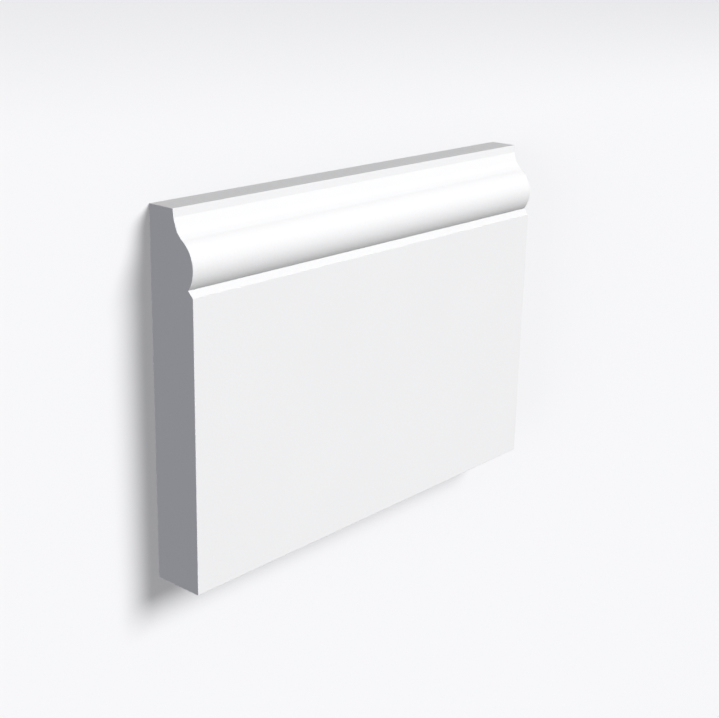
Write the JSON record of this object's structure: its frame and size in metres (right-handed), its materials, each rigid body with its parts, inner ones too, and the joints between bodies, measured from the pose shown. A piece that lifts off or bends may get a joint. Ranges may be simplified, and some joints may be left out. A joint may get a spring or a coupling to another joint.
{
  "type": "skirting board length",
  "caption": "Short straight length of white skirting board with a flat face, an ogee and V-groove along its top edge, a plain back and square-cut ends.",
  "frame": {"origin": "centre of the flat back, which the board lies on", "axes": "+X along the board's length, +Y from the plain lower edge to the moulded top edge, +Z out of the moulded face"},
  "size_m": [0.167, 0.119, 0.0182],
  "materials": {
    "white_primed_mdf": "matte"
  },
  "bodies": {
    "root": {"skirting_board": "white_primed_mdf"}
  },
  "joints": []
}
